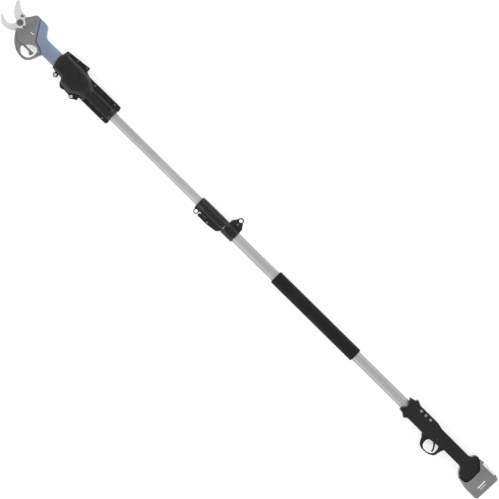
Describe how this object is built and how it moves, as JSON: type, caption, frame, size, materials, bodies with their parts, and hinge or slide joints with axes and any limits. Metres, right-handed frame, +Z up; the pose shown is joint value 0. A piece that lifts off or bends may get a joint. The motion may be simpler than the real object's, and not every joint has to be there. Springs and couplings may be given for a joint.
{
  "type": "telescopic pole pruner",
  "caption": "Telescopic reach pole with a lever lock, foam grip and powered rear handle with battery, and a head holder carrying battery secateurs.",
  "frame": {"origin": "centre of the bounding box's underside, on the surface that the tool lies on", "axes": "+X along the pole towards the cutting head, +Y towards the triggers, +Z up, so the tool lies on its side"},
  "size_m": [2.1439, 0.1311, 0.068],
  "materials": {
    "black_plastic": "fine moulded grain, semi-matt black",
    "foam": "closed-cell foam, matt near-black",
    "aluminium": "silver anodised, fine lengthwise flutes",
    "blade_steel": "pale ground steel",
    "steel": "zinc-plated steel",
    "dark_steel": "blackened steel",
    "grey_plastic": "fine moulded grain, mid grey",
    "blue_plastic": "fine moulded grain, slate blue",
    "light_plastic": "moulded, pale grey",
    "circuit_board": "green solder mask",
    "cable_rubber": "smooth black rubber"
  },
  "bodies": {
    "outer_pole": {"outer_tube": "aluminium", "tube_bush": "light_plastic", "foam_grip": "foam", "coiled_cable": "cable_rubber", "lock_collar": "black_plastic", "lever_pin": "steel", "strap_collar": "black_plastic", "strap_eye": "black_plastic", "collar_screw": "steel", "handle_shell_front": "black_plastic", "handle_shell_back": "black_plastic", "gauge_lens_1": "light_plastic", "gauge_lens_2": "light_plastic", "gauge_lens_3": "light_plastic", "trigger_pin": "steel", "trigger_switch": "dark_steel", "handle_board": "circuit_board", "cable_socket": "light_plastic", "terminal_block": "black_plastic"},
    "inner_pole": {"inner_tube": "aluminium", "tube_end_plug": "black_plastic", "head_cable": "cable_rubber", "holder_shell_front": "black_plastic", "holder_shell_back": "black_plastic", "cuff_screw_1": "steel", "cuff_screw_2": "steel", "cuff_screw_3": "steel", "socket_screw_1": "steel", "socket_screw_2": "steel", "socket_screw_3": "steel", "socket_screw_4": "steel", "cuff_bolt_1": "steel", "cuff_bolt_2": "steel", "adapter_plug": "light_plastic"},
    "lever": {"lock_lever": "black_plastic"},
    "shoe": {"brake_shoe": "cable_rubber"},
    "rear_trigger": {"trigger": "black_plastic"},
    "rear_button": {"top_button": "black_plastic"},
    "secateurs": {"pruner_head_front": "grey_plastic", "pruner_head_back": "grey_plastic", "pruner_grip_front": "blue_plastic", "pruner_grip_back": "blue_plastic", "hook_blade": "blade_steel", "pivot_bolt": "dark_steel", "pivot_nut": "dark_steel", "lock_plate": "blade_steel", "pruner_gearbox": "dark_steel", "pruner_motor": "steel", "pruner_trigger_pin": "steel", "pruner_switch": "circuit_board"},
    "blade": {"cutting_blade": "blade_steel"},
    "pinion": {"drive_pinion": "dark_steel", "bevel_wheel": "dark_steel"},
    "bevel": {"bevel_pinion": "dark_steel"},
    "finger_trigger": {"pruner_trigger": "grey_plastic"},
    "battery": {"battery_cover": "grey_plastic", "battery_tub": "grey_plastic", "cell_block": "steel"},
    "latch": {"battery_latch": "light_plastic"}
  },
  "joints": [
    {"name": "telescope", "type": "slide", "parent": "outer_pole", "child": "inner_pole", "axis": [1, 0, 0], "range_m": [-0.36, 0.15], "deforming": ["coiled_cable"]},
    {"name": "lock_lever_hinge", "type": "hinge", "parent": "outer_pole", "child": "lever", "pos_m": [0.147, 0.025, 0.034], "axis": [0, 0, 1], "range_deg": [0, 115]},
    {"name": "brake_shoe_slide", "type": "slide", "parent": "outer_pole", "child": "shoe", "axis": [0, 1, 0], "range_m": [0, 0.0008]},
    {"name": "trigger_pull", "type": "hinge", "parent": "outer_pole", "child": "rear_trigger", "pos_m": [-0.848, 0.003, 0.034], "axis": [0, 0, 1], "range_deg": [0, 7.5], "stiffness_Nm_per_rad": 1, "springref_deg": -8.59},
    {"name": "top_button_press", "type": "slide", "parent": "outer_pole", "child": "rear_button", "axis": [0, 1, 0], "range_m": [0, 0.002], "stiffness_N_per_m": 400, "springref_m": -0.003},
    {"name": "battery_slide", "type": "slide", "parent": "outer_pole", "child": "battery", "axis": [-1, 0, 0], "range_m": [0, 0.045]},
    {"name": "battery_latch_press", "type": "slide", "parent": "battery", "child": "latch", "axis": [0, 1, 0], "range_m": [0, 0.002], "stiffness_N_per_m": 400, "springref_m": -0.003},
    {"name": "secateurs_slide", "type": "slide", "parent": "inner_pole", "child": "secateurs", "axis": [1, 0, 0], "range_m": [0, 0.095]},
    {"name": "blade_pivot", "type": "hinge", "parent": "secateurs", "child": "blade", "pos_m": [1.0067, -0.0104, 0.034], "axis": [0, 0, 1], "range_deg": [0, 52]},
    {"name": "pinion_spin", "type": "hinge", "parent": "secateurs", "child": "pinion", "pos_m": [0.9667, -0.0104, 0.034], "axis": [0, 0, 1], "range_deg": [-208, 0]},
    {"name": "bevel_spin", "type": "hinge", "parent": "secateurs", "child": "bevel", "pos_m": [0.93, -0.0104, 0.034], "axis": [1, 0, 0], "range_deg": [0, 660]},
    {"name": "finger_trigger_pull", "type": "hinge", "parent": "secateurs", "child": "finger_trigger", "pos_m": [0.955, 0.029, 0.034], "axis": [0, 0, 1], "range_deg": [0, 10], "stiffness_Nm_per_rad": 0.6, "springref_deg": -11.46}
  ],
  "couplings": [
    {"joint": "brake_shoe_slide", "follows": "lock_lever_hinge", "m_per_rad": 0.00039818},
    {"joint": "pinion_spin", "follows": "blade_pivot", "ratio": -4},
    {"joint": "bevel_spin", "follows": "blade_pivot", "ratio": 12.609}
  ]
}
